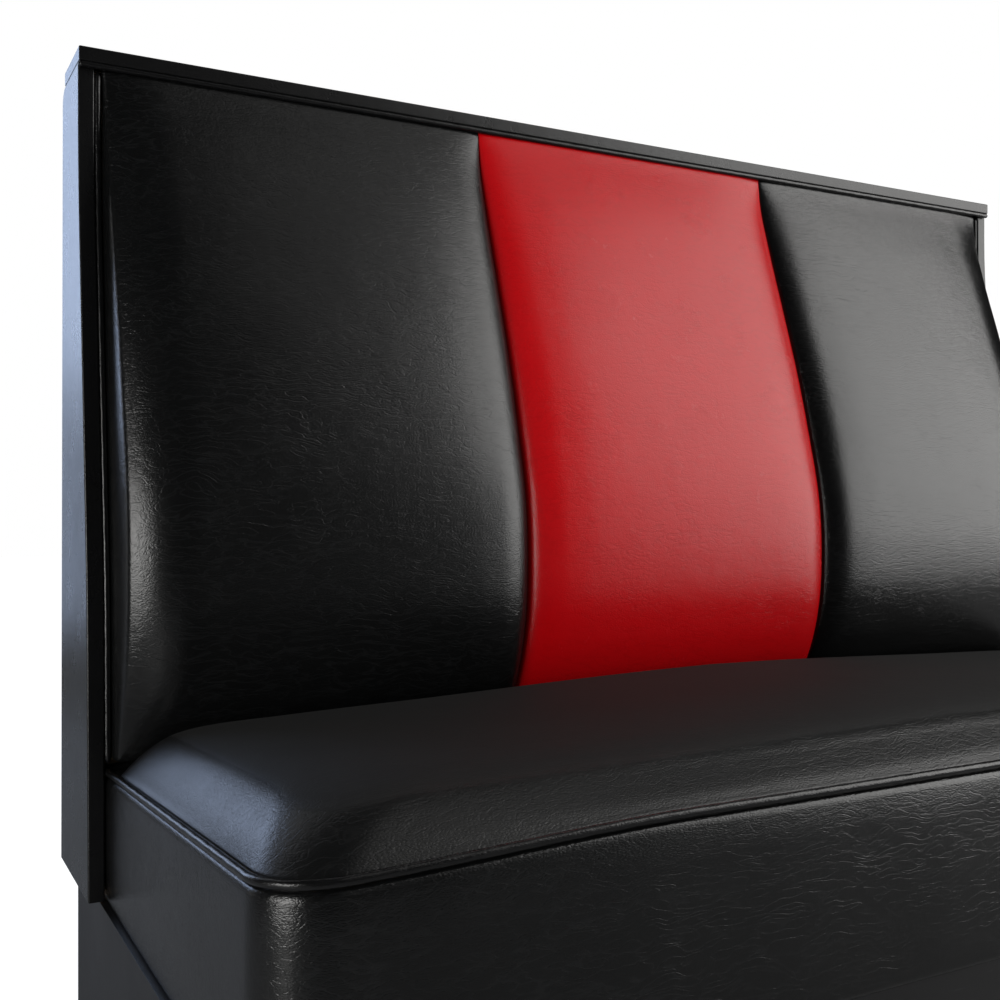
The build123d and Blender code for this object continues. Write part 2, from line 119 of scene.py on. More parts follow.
paper.inputs["Color"].default_value = (1, 1, 1, 1)
paper_share = floor_tree.nodes.new("ShaderNodeMath")
paper_share.operation = "MULTIPLY"
floor_tree.links.new(seen_directly(floor_tree), paper_share.inputs[0])
paper_share.inputs[1].default_value = 0.6
floor_look = floor_tree.nodes.new("ShaderNodeMixShader")
floor_tree.links.new(paper_share.outputs[0], floor_look.inputs["Fac"])
floor_tree.links.new(floor_shader.outputs[0], floor_look.inputs[1])
floor_tree.links.new(paper.outputs[0], floor_look.inputs[2])
floor_tree.links.new(floor_look.outputs[0], floor_tree.nodes["Material Output"].inputs["Surface"])
floor.data.materials.append(floor_material)


def softbox(name, place, aim, size, radiance, color):
    """A soft rectangular lamp at place that faces aim; radiance is what it shows."""
    lamp = bpy.data.lights.new(name, "AREA")
    lamp.shape = "RECTANGLE"
    lamp.size, lamp.size_y = size
    lamp.energy = radiance * 4 * size[0] * size[1]
    lamp.color = color
    holder = bpy.data.objects.new(name, lamp)
    holder.location = place
    holder.rotation_euler = (Vector(aim) - Vector(place)).to_track_quat("-Z", "Y").to_euler()
    holder.visible_camera = False
    bpy.context.scene.collection.objects.link(holder)


warm_white, cool_white = (1.0, 0.99, 0.97), (0.57, 0.71, 1.0)
softbox("key_right", (2.5, -1.72, 1.9), (0, 0, 0.84), (2.1, 3.4), 3.9, warm_white)
softbox("top_glow", (1.2, -1.0, 3.6), (0, -0.2, 0.8), (2.4, 1.4), 0.55, warm_white)
softbox("box_left", (-2.33, -0.8, 0.74), (-0.5, 0.05, 0.58), (1.0, 0.9), 9.5, warm_white)
softbox("low_strip", (-1.02, -0.45, 0.22), (-0.55, -0.28, 0.38), (0.11, 0.46), 1.0, warm_white)
softbox("cool_rear", (-0.8, 2.9, 1.22), (-0.58, 0.2, 0.7), (0.9, 1.95), 0.85, cool_white)
softbox("cool_side", (-1.75, 2.75, 1.62), (-0.56, -0.1, 0.5), (1.1, 1.25), 3.7, cool_white)


def dark_card(name, tone, *corners):
    """A dark card out of the picture, seen in gloss only, that keeps black vinyl black."""
    data = bpy.data.meshes.new(name)
    data.from_pydata(corners, [], [(0, 1, 2, 3)])
    card = bpy.data.objects.new(name, data)
    bpy.context.scene.collection.objects.link(card)
    card_material, _, card_shader = new_material(name)
    card_shader.inputs["Base Color"].default_value = (tone, tone, tone, 1)
    card_shader.inputs["Specular IOR Level"].default_value = 0.0
    data.materials.append(card_material)
    card.visible_camera = False
    card.visible_diffuse = False
    card.visible_shadow = False


dark_card("front_card", 0.01, (-3.4, -2.6, 0.0), (2.0, -3.8, 0.0), (2.0, -3.8, 6.0), (-3.4, -2.6, 6.0))
dark_card("left_card", 0.01, (-3.4, -2.6, 0.0), (-3.4, 2.6, 0.0), (-3.4, 2.6, 4.0), (-3.4, -2.6, 4.0))
dark_card("high_card", 0.04, (-3.4, -3.4, 3.9), (5.5, -3.4, 3.9), (5.5, 1.8, 3.9), (-3.4, 1.8, 3.9))
dark_card("rear_card", 0.16, (-3.4, 3.3, 0.0), (-0.3, 3.3, 0.0), (-0.3, 3.3, 3.9), (-3.4, 3.3, 3.9))
dark_card("right_card", 0.01, (4.4, -1.1, 0.0), (4.4, 3.0, 0.0), (4.4, 3.0, 3.9), (4.4, -1.1, 3.9))
card_lift = 0.0006  # above the floor
dark_card(
    "floor_card", 0.25,
    (-4.0, -4.0, card_lift), (4.0, -4.0, card_lift), (4.0, 4.0, card_lift), (-4.0, 4.0, card_lift),
)


# Base: four melamine-faced boards in satin black, set in under the seat so
# that shoes clear them. Their edges are eased by hand, and knocks dull them.
def new_group(name, inputs, outputs):
    """A shader node group with its named sockets and their start values."""
    group = bpy.data.node_groups.new(name, "ShaderNodeTree")
    for label, kind, value in inputs:
        socket = group.interface.new_socket(label, in_out="INPUT", socket_type=kind)
        if value is not None:
            socket.default_value = value
    for label, kind in outputs:
        group.interface.new_socket(label, in_out="OUTPUT", socket_type=kind)
    return group, group.nodes.new("NodeGroupInput"), group.nodes.new("NodeGroupOutput")


def add_node(tree, kind, links=None, **values):
    """A node with its values set and its named inputs linked."""
    node = tree.nodes.new(kind)
    for key, value in values.items():
        setattr(node, key, value)
    for key, source in (links or {}).items():
        target = node.inputs[key]
        if hasattr(source, "is_output"):
            tree.links.new(source, target)
        else:
            target.default_value = source
    return node


def math_node(tree, operation, first, second=0.5):
    """A Math node with its inputs set or linked."""
    return add_node(tree, "ShaderNodeMath", {0: first, 1: second}, operation=operation)


sharp_from = math.radians(35)


def shade_by_angle(piece):
    """Smooth shading that stops at the sharp edges."""
    mesh = bmesh.new()
    mesh.from_mesh(piece.data)
    for face in mesh.faces:
        face.smooth = True
    for edge in mesh.edges:
        edge.smooth = len(edge.link_faces) == 2 and edge.calc_face_angle(0) < sharp_from
    mesh.to_mesh(piece.data)
    mesh.free()


def eased_board(node, radius, segments=3):
    """A board in the place of its CAD node, with the arrises a sander leaves."""
    mesh = bmesh.new()
    mesh.from_mesh(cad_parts[node].data)
    bmesh.ops.remove_doubles(mesh, verts=mesh.verts, dist=1e-5)
    nearly_flat, arris = math.radians(0.4), math.radians(30)
    bmesh.ops.dissolve_limit(mesh, angle_limit=nearly_flat, verts=mesh.verts, edges=mesh.edges)
    sharp = [e for e in mesh.edges if len(e.link_faces) == 2 and e.calc_face_angle(0) > arris]
    bmesh.ops.bevel(
        mesh, geom=sharp, offset=radius, offset_type="OFFSET", segments=segments,
        profile=0.5, affect="EDGES", clamp_overlap=True,
    )
    data = bpy.data.meshes.new(node + "_eased")
    mesh.to_mesh(data)
    mesh.free()
    piece = bpy.data.objects.new(node + "_eased", data)
    bpy.context.scene.collection.objects.link(piece)
    shade_by_angle(piece)
    normals = piece.modifiers.new("flat_faces", "WEIGHTED_NORMAL")
    normals.keep_sharp = True
    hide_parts(node)
    return piece


def settle(piece, body, material):
    """Give a piece its finish and its body."""
    piece.data.materials.clear()
    piece.data.materials.append(material)
    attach(piece, body)
    return piece


def build_edge_wear():
    """Group: soft mottling and rub marks, as masks from 0 to 1."""
    group, given, result = new_group(
        "edge wear",
        [
            ("Vector", "NodeSocketVector", None), ("Size", "NodeSocketFloat", 14.0),
            ("Amount", "NodeSocketFloat", 0.5),
        ],
        [("Mottle", "NodeSocketFloat"), ("Rubs", "NodeSocketFloat")],
    )
    mottle = add_node(group, "ShaderNodeTexNoise", {
        "Vector": given.outputs["Vector"], "Scale": given.outputs["Size"], "Detail": 5.0, "Roughness": 0.6,
    })
    stretch = add_node(group, "ShaderNodeMapping", {
        "Vector": given.outputs["Vector"], "Scale": (3.0, 3.0, 40.0),
    })
    scrape = add_node(group, "ShaderNodeTexNoise", {
        "Vector": stretch.outputs[0], "Scale": 9.0, "Detail": 3.0,
    })
    thin = add_node(group, "ShaderNodeMapRange", {
        "Value": scrape.outputs["Fac"], "From Min": 0.66, "From Max": 0.74,
    })
    rubs = math_node(group, "MULTIPLY", thin.outputs[0], given.outputs["Amount"])
    group.links.new(mottle.outputs["Fac"], result.inputs["Mottle"])
    group.links.new(rubs.outputs[0], result.inputs["Rubs"])
    return group


def place_group(tree, group, links):
    """A shader group placed in a material, with its inputs set or linked."""
    return add_node(tree, "ShaderNodeGroup", links, node_tree=group)


def tone_between(tree, factor, low, high):
    """Colour that runs with a mask from low, a colour or a node's output, to high."""
    mix = add_node(tree, "ShaderNodeMix", None, data_type="RGBA")
    tree.links.new(factor, mix.inputs["Factor"])
    for label, tone in (("A", low), ("B", high)):
        if hasattr(tone, "is_output"):
            tree.links.new(tone, mix.inputs[label])
        else:
            mix.inputs[label].default_value = (*tone, 1)
    return mix.outputs["Result"]


def level_between(tree, factor, low, high):
    """Value that runs from low to high with a mask."""
    mapped = add_node(tree, "ShaderNodeMapRange", {"Value": factor, "To Min": low, "To Max": high})
    return mapped.outputs[0]


def bump_from(tree, height, distance, **more):
    """Normal from a height mask whose 0 to 1 is this many metres."""
    return add_node(tree, "ShaderNodeBump", {"Height": height, "Distance": distance, **more}).outputs[0]


edge_wear = build_edge_wear()
base_finish, base_tree, base_shader = new_material("black_melamine")
base_place = base_tree.nodes.new("ShaderNodeTexCoord").outputs["Object"]
base_marks = place_group(base_tree, edge_wear, {"Vector": base_place, "Size": 9.0, "Amount": 0.35})
base_black, base_worn, base_scraped = (0.003, 0.003, 0.0033), (0.006, 0.006, 0.0068), (0.03, 0.03, 0.032)
base_tone = tone_between(base_tree, base_marks.outputs["Mottle"], base_black, base_worn)
base_rubbed = tone_between(base_tree, base_marks.outputs["Rubs"], base_tone, base_scraped)
base_tree.links.new(base_rubbed, base_shader.inputs["Base Color"])
base_gloss = level_between(base_tree, base_marks.outputs["Mottle"], 0.34, 0.5)
base_tree.links.new(base_gloss, base_shader.inputs["Roughness"])
base_grit = add_node(base_tree, "ShaderNodeTexNoise", {"Vector": base_place, "Scale": 900.0, "Detail": 2.0})
base_tree.links.new(bump_from(base_tree, base_grit.outputs["Fac"], 0.00008), base_shader.inputs["Normal"])
base_shader.inputs["Specular IOR Level"].default_value = 0.32

for node in ("base_side_left", "base_side_right", "base_front_board", "base_rear_board"):
    settle(eased_board(node, 0.0009), "booth_frame", base_finish)


# Glides: turned nylon feet with a steel pin, nailed into the lower edges of
# the base so that it slides on the floor. Their rims are scuffed grey.
glide_finish, glide_tree, glide_shader = new_material("black_nylon")
glide_place = glide_tree.nodes.new("ShaderNodeTexCoord").outputs["Object"]
glide_marks = place_group(glide_tree, edge_wear, {"Vector": glide_place, "Size": 160.0, "Amount": 0.8})
glide_tree.links.new(
    tone_between(glide_tree, glide_marks.outputs["Mottle"], (0.012, 0.012, 0.012), (0.05, 0.05, 0.048)),
    glide_shader.inputs["Base Color"],
)
glide_tree.links.new(
    level_between(glide_tree, glide_marks.outputs["Mottle"], 0.45, 0.7), glide_shader.inputs["Roughness"]
)
settle(eased_board("base_glides", 0.0005), "booth_frame", glide_finish)


# Frame timber: planed softwood and poplar rails, stiles, plates and glue
# blocks, left raw inside the cover. The grain runs along each piece.
def build_wood_grain():
    """Group: long grain lines with darker late wood, and fine pores."""
    group, given, result = new_group(
        "wood grain",
        [("Vector", "NodeSocketVector", None), ("Along", "NodeSocketVector", (1.0, 1.0, 1.0))],
        [("Grain", "NodeSocketFloat"), ("Pores", "NodeSocketFloat")],
    )
    along = add_node(group, "ShaderNodeVectorMath", {
        0: given.outputs["Vector"], 1: given.outputs["Along"],
    }, operation="MULTIPLY")
    warp = add_node(group, "ShaderNodeTexNoise", {"Vector": along.outputs[0], "Scale": 4.0, "Detail": 3.0})
    shifted = add_node(group, "ShaderNodeVectorMath", {
        0: along.outputs[0], 1: warp.outputs["Color"],
    }, operation="ADD")
    rings = add_node(group, "ShaderNodeTexWave", {
        "Vector": shifted.outputs[0], "Scale": 6.0, "Distortion": 6.0, "Detail": 3.0, "Detail Scale": 1.5,
    })
    pores = add_node(group, "ShaderNodeTexNoise", {"Vector": along.outputs[0], "Scale": 90.0, "Detail": 2.0})
    group.links.new(rings.outputs["Fac"], result.inputs["Grain"])
    group.links.new(pores.outputs["Fac"], result.inputs["Pores"])
    return group


wood_grain = build_wood_grain()


def raw_wood(name, along, pale, dark):
    """Raw timber with its grain along one axis."""
    material, tree, shader = new_material(name)
    place = tree.nodes.new("ShaderNodeTexCoord").outputs["Object"]
    grain = place_group(tree, wood_grain, {"Vector": place, "Along": along})
    tree.links.new(tone_between(tree, grain.outputs["Grain"], pale, dark), shader.inputs["Base Color"])
    tree.links.new(level_between(tree, grain.outputs["Pores"], 0.55, 0.75), shader.inputs["Roughness"])
    tree.links.new(bump_from(tree, grain.outputs["Pores"], 0.0002), shader.inputs["Normal"])
    return material


timber_pale, timber_dark = (0.62, 0.46, 0.29), (0.42, 0.27, 0.14)
timber_across = raw_wood("timber_lengthways", (1.0, 14.0, 14.0), timber_pale, timber_dark)
timber_upright = raw_wood("timber_upright", (14.0, 14.0, 1.0), timber_pale, timber_dark)
timber_deep = raw_wood("timber_front_to_rear", (14.0, 1.0, 14.0), timber_pale, timber_dark)
timber_runs = {
    timber_across: (
        "base_ledge", "back_top_plate", "back_sole_plate", "back_rails_lower", "back_rails_upper",
        "seat_front_rail", "seat_rear_rail",
    ),
    timber_upright: (
        "back_stile_left", "back_stile_right", "back_stile_mid_left", "back_stile_mid_right",
        "base_corner_blocks", "seat_corner_block_left", "seat_corner_block_right",
    ),
    timber_deep: (
        "seat_side_rail_left", "seat_side_rail_right", "seat_cross_rail_left", "seat_cross_rail_right",
    ),
}


def finish_node(node, material):
    """A CAD node that stays, with its own finish."""
    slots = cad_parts[node].data.materials
    slots.clear()
    slots.append(material)


for timber, nodes in timber_runs.items():
    for node in nodes:
        finish_node(node, timber)


# Plywood: the raked back board, the seat deck with its air holes and the
# partition of the base. The faces are rotary-cut veneer and the edges show plies.
plies_per_metre = 640.0


def plywood(name, along, ply_axis):
    """Veneered board whose edges show layers across ply_axis."""
    material, tree, shader = new_material(name)
    coords = tree.nodes.new("ShaderNodeTexCoord")
    grain = place_group(tree, wood_grain, {"Vector": coords.outputs["Object"], "Along": along})
    face_tone = tone_between(tree, grain.outputs["Grain"], (0.66, 0.5, 0.32), (0.5, 0.34, 0.19))
    split = add_node(tree, "ShaderNodeSeparateXYZ", {0: coords.outputs["Object"]})
    layers = math_node(tree, "MULTIPLY", split.outputs[ply_axis], plies_per_metre)
    wave = math_node(tree, "PINGPONG", layers.outputs[0], 2.0)
    ply_tone = tone_between(tree, wave.outputs[0], (0.46, 0.31, 0.17), (0.68, 0.52, 0.34))
    facing = add_node(tree, "ShaderNodeSeparateXYZ", {0: coords.outputs["Normal"]})
    flatness = math_node(tree, "ABSOLUTE", facing.outputs[ply_axis])
    on_face = add_node(tree, "ShaderNodeMapRange", {
        "Value": flatness.outputs[0], "From Min": 0.6, "From Max": 0.8,
    })
    tree.links.new(tone_between(tree, on_face.outputs[0], ply_tone, face_tone), shader.inputs["Base Color"])
    tree.links.new(level_between(tree, grain.outputs["Pores"], 0.6, 0.8), shader.inputs["Roughness"])
    tree.links.new(bump_from(tree, grain.outputs["Pores"], 0.00025), shader.inputs["Normal"])
    return material


finish_node("back_board", plywood("plywood_upright", (14.0, 14.0, 1.0), "Y"))
finish_node("seat_deck", plywood("plywood_level", (1.0, 14.0, 14.0), "Z"))
finish_node("base_partition", plywood("plywood_partition", (14.0, 1.0, 14.0), "X"))


# Bolts, washers and flange nuts: zinc-plated steel, dulled by storage.
zinc, zinc_tree, zinc_shader = new_material("zinc_plate")
zinc_place = zinc_tree.nodes.new("ShaderNodeTexCoord").outputs["Object"]
zinc_marks = place_group(zinc_tree, edge_wear, {"Vector": zinc_place, "Size": 220.0, "Amount": 0.6})
zinc_tree.links.new(
    tone_between(zinc_tree, zinc_marks.outputs["Mottle"], (0.52, 0.53, 0.55), (0.72, 0.72, 0.7)),
    zinc_shader.inputs["Base Color"],
)
zinc_gloss = level_between(zinc_tree, zinc_marks.outputs["Mottle"], 0.28, 0.5)
zinc_tree.links.new(zinc_gloss, zinc_shader.inputs["Roughness"])
zinc_shader.inputs["Metallic"].default_value = 1.0
for node in ("back_bolts", "back_bolt_washers", "back_bolt_nuts"):
    finish_node(node, zinc)


# Seat border: black vinyl over thin foam, stapled round the seat box. Its top
# is tucked up to the welt in a small roll and its hem turns under the box.
def build_vinyl_grain():
    """Group: the embossed grain of expanded vinyl. Pebble is the fine emboss,
    Creases the short stretch lines that lie in patches, Sheen a slow mottling."""
    group, given, result = new_group(
        "vinyl grain",
        [("Vector", "NodeSocketVector", None), ("Crease", "NodeSocketFloat", 1.0)],
        [("Pebble", "NodeSocketFloat"), ("Creases", "NodeSocketFloat"), ("Sheen", "NodeSocketFloat")],
    )
    place = given.outputs["Vector"]
    bend = add_node(group, "ShaderNodeTexNoise", {"Vector": place, "Scale": 24.0, "Detail": 2.0})
    bent = add_node(group, "ShaderNodeMix", {"Factor": 0.02}, data_type="VECTOR")
    group.links.new(place, bent.inputs["A"])
    group.links.new(bend.outputs["Color"], bent.inputs["B"])
    flat_cells = add_node(group, "ShaderNodeMapping", {"Vector": place, "Scale": (0.6, 1.0, 1.25)})
    cells = add_node(group, "ShaderNodeTexVoronoi", {
        "Vector": flat_cells.outputs[0], "Scale": 560.0,
    }, feature="DISTANCE_TO_EDGE")
    pebble = add_node(group, "ShaderNodeMapRange", {"Value": cells.outputs["Distance"], "From Max": 0.35})
    patches = add_node(group, "ShaderNodeTexNoise", {
        "Vector": place, "Scale": 9.0, "Detail": 3.0, "Roughness": 0.6,
    })
    patch_mask = add_node(group, "ShaderNodeMapRange", {
        "Value": patches.outputs["Fac"], "From Min": 0.36, "From Max": 0.64, "To Min": 0.5,
    })
    total = None
    for turn, squeeze, scale in ((0.0, (1.0, 6.5, 6.5), 19.0), (0.55, (1.3, 6.0, 6.0), 23.0)):
        turned = add_node(group, "ShaderNodeMapping", {
            "Vector": bent.outputs["Result"], "Rotation": (0.0, turn, -turn), "Scale": squeeze,
        })
        field = add_node(group, "ShaderNodeTexNoise", {
            "Vector": turned.outputs[0], "Scale": scale, "Detail": 1.0, "Roughness": 0.5,
        })
        centred = math_node(group, "SUBTRACT", field.outputs["Fac"], 0.5)
        away = math_node(group, "ABSOLUTE", centred.outputs[0])
        thin = add_node(group, "ShaderNodeMapRange", {
            "Value": away.outputs[0], "From Max": 0.035, "To Min": 1.0, "To Max": 0.0,
        }, interpolation_type="SMOOTHSTEP")
        if total is None:
            total = thin
        else:
            total = math_node(group, "MAXIMUM", total.outputs[0], thin.outputs[0])
    masked = math_node(group, "MULTIPLY", total.outputs[0], patch_mask.outputs[0])
    creases = math_node(group, "MULTIPLY", masked.outputs[0], given.outputs["Crease"])
    sheen = add_node(group, "ShaderNodeTexNoise", {
        "Vector": place, "Scale": 26.0, "Detail": 4.0, "Roughness": 0.65,
    })
    group.links.new(pebble.outputs[0], result.inputs["Pebble"])
    group.links.new(creases.outputs[0], result.inputs["Creases"])
    group.links.new(sheen.outputs["Fac"], result.inputs["Sheen"])
    return group


vinyl_grain = build_vinyl_grain()


pebble_height, crease_depth, slow_dents = 0.00006, 0.00007, 0.0003


# The default crease colour, a grey lighter than black vinyl, is a painted highlight along the creases.
def vinyl(name, base, worn, rough=(0.21, 0.28), crease=1.0, specular=0.3, worn_top=None,
          crease_highlight_and_shade=(0.0062, 0.0064, 0.0066)):
    """Upholstery vinyl: its colour, its grain, its stretch creases with painted light and shade along them,
    and their gloss.
    With worn_top, the roughness where it lies level and is rubbed matt by sitting."""
    material, tree, shader = new_material(name)
    place = tree.nodes.new("ShaderNodeTexCoord").outputs["Object"]
    grain = place_group(tree, vinyl_grain, {"Vector": place, "Crease": crease})
    marks = place_group(tree, edge_wear, {"Vector": place, "Size": 7.0, "Amount": 0.3})
    mottled = tone_between(tree, marks.outputs["Mottle"], base, worn)
    # The creases are painted in their own colour: lighter on black vinyl as a painted highlight, darker on
    # red vinyl as painted shade in them.
    painted_crease_mask = level_between(tree, grain.outputs["Creases"], 0.0, 0.6)
    tree.links.new(tone_between(tree, painted_crease_mask, mottled, crease_highlight_and_shade), shader.inputs["Base Color"])
    roughness = level_between(tree, grain.outputs["Sheen"], *rough)
    if worn_top:
        normal = tree.nodes.new("ShaderNodeTexCoord").outputs["Normal"]
        level = add_node(tree, "ShaderNodeSeparateXYZ", {"Vector": normal})
        rubbed = add_node(tree, "ShaderNodeMapRange", {
            "Value": level.outputs["Z"], "From Min": 0.8, "From Max": 0.96, "To Max": worn_top,
        }, interpolation_type="SMOOTHSTEP")
        roughness = math_node(tree, "MAXIMUM", roughness, rubbed.outputs[0]).outputs[0]
        shader.distribution = "GGX"
    tree.links.new(roughness, shader.inputs["Roughness"])
    fine = bump_from(tree, grain.outputs["Pebble"], pebble_height)
    deep = add_node(tree, "ShaderNodeBump", {
        "Height": grain.outputs["Creases"], "Distance": crease_depth, "Normal": fine,
    }, invert=True)
    slow = bump_from(tree, grain.outputs["Sheen"], slow_dents, Normal=deep.outputs[0])
    tree.links.new(slow, shader.inputs["Normal"])
    shader.inputs["Specular IOR Level"].default_value = specular
    return material


black_vinyl = vinyl("black_vinyl", (0.0016, 0.0017, 0.0017), (0.0032, 0.0033, 0.0034))

seat_slope = math.radians(3.5)
deck_rear = Vector((0.0, 0.1777, 0.4354))
seat_half = 0.5681
seat_front = -0.4735
corner_radius = 0.045
welt_lift = 0.008
welt_radius = 0.003


def smooth_step(value):
    """Soft ramp from 0 to 1."""
    value = np.clip(value, 0.0, 1.0)
    return value * value * (3 - 2 * value)


def welt_rise(x, along):
    """How far the sewn line stands above the deck: it arches up along the front."""
    across = smooth_step((seat_half - 0.01 - np.abs(x)) / 0.27)
    forward = smooth_step((along - seat_front * 0.72) / (seat_front * 0.28))
    return welt_lift * across * forward


def on_deck(x, along, up):
    """Points from the tilted deck's own axes, rearward and up, to the booth's."""
    y = deck_rear.y + along * math.cos(seat_slope) + up * math.sin(seat_slope)
    z = deck_rear.z - along * math.sin(seat_slope) + up * math.cos(seat_slope)
    return np.stack([x, y, z], axis=-1)


def corner_arc(centre_x, centre_y, radius, start, end, count):
    """Plan points of a round corner, from one angle to just before the other."""
    angles = np.radians(np.linspace(start, end, count, endpoint=False))
    return np.stack([centre_x + radius * np.cos(angles), centre_y + radius * np.sin(angles)], axis=-1)


def seat_outline(side_in, front_in, radius, rear, counts):
    """Open outline round the seat: left side, rounded corner, front, corner, right side."""
    half, front = seat_half - side_in, seat_front + front_in
    side_count, corner_count, front_count = counts
    left_y = np.linspace(rear, front + radius, side_count, endpoint=False)
    left_corner = corner_arc(radius - half, front + radius, radius, 180, 270, corner_count)
    front_x = np.linspace(radius - half, half - radius, front_count, endpoint=False)
    right_corner = corner_arc(half - radius, front + radius, radius, 270, 360, corner_count)
    right_y = np.linspace(front + radius, rear, side_count + 1)
    return np.concatenate([
        np.stack([np.full(side_count, -half), left_y], -1), left_corner,
        np.stack([front_x, np.full(front_count, front)], -1), right_corner,
        np.stack([np.full(side_count + 1, half), right_y], -1),
    ])


def ring_faces(rows, columns):
    """Faces between rows of points whose ends join up."""
    return [
        (low + column, low + (column + 1) % columns,
         low + columns + (column + 1) % columns, low + columns + column)
        for low in range(0, (rows - 1) * columns, columns) for column in range(columns)
    ]


def tidy_mesh(piece):
    """Outward faces and smooth shading."""
    mesh = bmesh.new()
    mesh.from_mesh(piece.data)
    bmesh.ops.recalc_face_normals(mesh, faces=mesh.faces)
    for face in mesh.faces:
        face.smooth = True
    mesh.to_mesh(piece.data)
    mesh.free()


def mesh_piece(name, points, faces):
    """A smooth piece of these points and faces, with its faces outward."""
    data = bpy.data.meshes.new(name)
    data.from_pydata(points.reshape(-1, 3).tolist(), [], faces)
    data.validate()
    piece = bpy.data.objects.new(name, data)
    bpy.context.scene.collection.objects.link(piece)
    tidy_mesh(piece)
    return piece


def capped_rings(name, rings):
    """A closed piece from rows of points, the first and last row each closed by a face."""
    rows, columns = rings.shape[:2]
    ends = [tuple(reversed(range(columns))), tuple(range((rows - 1) * columns, rows * columns))]
    return mesh_piece(name, rings, ring_faces(rows, columns) + ends)


border_bottom = 0.3254
border_counts = (40, 16, 110)
border_rows = (  # inset, share of the way down, below the sewn line, above the hem
    (0.0052, 0, 0.0032, 0), (0.0038, 0, 0.0038, 0), (0.0022, 0, 0.0048, 0), (0.0008, 0, 0.0064, 0),
    (0.0, 0, 0.0100, 0), (-0.0003, 0.12, 0.0145, 0), (-0.0006, 0.3, 0.0145, 0),
    (-0.0007, 0.5, 0.0145, 0.004), (-0.0005, 0.7, 0.0145, 0.004), (-0.0002, 0.88, 0.0145, 0.004),
    (0.0, 1, 0, 0.0065), (0.0003, 1, 0, 0.0040), (0.0010, 1, 0, 0.0021), (0.0021, 1, 0, 0.0008),
    (0.0035, 1, 0, 0.0001), (0.0047, 1, 0, 0.0008), (0.0051, 1, 0, 0.0030),
    (0.0051, 0.7, 0.0145, 0.004), (0.0051, 0.3, 0.0145, 0.004), (0.0056, 0, 0.0120, 0),
    (0.0062, 0, 0.0052, 0),
)
border_wave = 0.0004  # the skin's slow unevenness
border_columns = []
for inset, share, below_top, above_hem in border_rows:
    plan = seat_outline(inset, inset, corner_radius - inset, 0.0, border_counts)
    sewn = on_deck(plan[:, 0], plan[:, 1], welt_rise(plan[:, 0], plan[:, 1]))
    slow_wave = np.sin(plan[:, 0] * 37.0 + 1.3) * np.sin(plan[:, 1] * 29.0 + plan[:, 0] * 11.0)
    out = border_wave * slow_wave * (1 if 0.1 < share < 0.9 and inset < 0.002 else 0)
    high = sewn[:, 2] - below_top
    z = high * (1 - share) + (border_bottom + above_hem) * share
    at_side = np.sign(plan[:, 0]) * (np.abs(plan[:, 0]) > seat_half - 0.02)
    at_front = np.where(plan[:, 1] < seat_front + 0.02, -1.0, 0.0)
    y = deck_rear.y + plan[:, 1] * math.cos(seat_slope)
    column = np.stack([plan[:, 0] + out * at_side, y + out * at_front, z], -1)
    border_columns.append(column)
border = capped_rings("seat_border_skin", np.stack(border_columns, axis=1))
settle(border, "seat", black_vinyl)
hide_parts("seat_border")


# Seat cushion: dense foam on the deck under one piece of black vinyl, pulled
# down to the welt all round, so that it rolls over the edge and crowns.
def curve_through(knots, values, at):
    """Smooth value at each place, through every knot."""
    knots, values = np.asarray(knots, float), np.asarray(values, float)
    slopes = np.gradient(values, knots)
    low = np.clip(np.searchsorted(knots, at, side="right") - 1, 0, len(knots) - 2)
    span = knots[low + 1] - knots[low]
    t = np.clip((at - knots[low]) / span, 0, 1)
    flat, rise = 2 * t**3 - 3 * t**2 + 1, t**3 - 2 * t**2 + t
    return (
        values[low] * flat + slopes[low] * span * rise
        + values[low + 1] * (1 - flat) + slopes[low + 1] * span * (t**3 - t**2)
    )


def refine(piece):
    """One finer level, kept in the mesh."""
    tidy_mesh(piece)
    finer = piece.modifiers.new("finer", "SUBSURF")
    finer.levels = finer.render_levels = 1
    with bpy.context.temp_override(object=piece, active_object=piece, selected_objects=[piece]):
        bpy.ops.object.modifier_apply(modifier=finer.name)


foam_pressure = 4.0


def swell_cover(piece, held, pressure, most):
    """Blow the cover out against its sewn edges: held is 1 where it is sewn down.
    No point moves further than most. The moves are evened out over their neighbours,
    so that no lump stays, and are left in the mesh."""
    last_frame, smoothing_rounds = 20, 40
    group = piece.vertex_groups.new(name="sewn")
    for index, weight in enumerate(held.tolist()):
        group.add([index], weight, "REPLACE")
    cloth = piece.modifiers.new("cover", "CLOTH")
    cloth.point_cache.frame_start, cloth.point_cache.frame_end = 1, last_frame
    settings = cloth.settings
    settings.quality = 6
    settings.mass = 0.4
    settings.tension_stiffness = settings.compression_stiffness = 60
    settings.shear_stiffness = 20
    settings.bending_stiffness = 3
    settings.air_damping = 4
    settings.vertex_group_mass = "sewn"
    settings.use_pressure = True
    settings.uniform_pressure_force = pressure
    settings.effector_weights.gravity = 0
    start = np.array([v.co for v in piece.data.vertices], float)
    for step in range(1, last_frame + 1):
        bpy.context.scene.frame_set(step)
    shaped = piece.evaluated_get(bpy.context.evaluated_depsgraph_get()).to_mesh()
    moved = np.array([v.co for v in shaped.vertices], float) - start
    piece.modifiers.remove(cloth)
    length = np.linalg.norm(moved, axis=1, keepdims=True)
    moved *= np.minimum(1.0, most / np.maximum(length, 1e-9))
    ends = np.array([edge.vertices for edge in piece.data.edges])
    shared = np.bincount(ends.ravel(), minlength=len(start))[:, None]
    for _ in range(smoothing_rounds):
        near = np.zeros_like(moved)
        np.add.at(near, ends[:, 0], moved[ends[:, 1]])
        np.add.at(near, ends[:, 1], moved[ends[:, 0]])
        moved = (moved + near / shared) / 2
    moved *= 1 - held[:, None]
    piece.data.vertices.foreach_set("co", (start + moved).ravel())
    piece.data.update()
    piece.vertex_groups.clear()
    bpy.context.scene.frame_set(1)


cushion_rear = -0.0843
cushion_counts = (26, 10, 90)


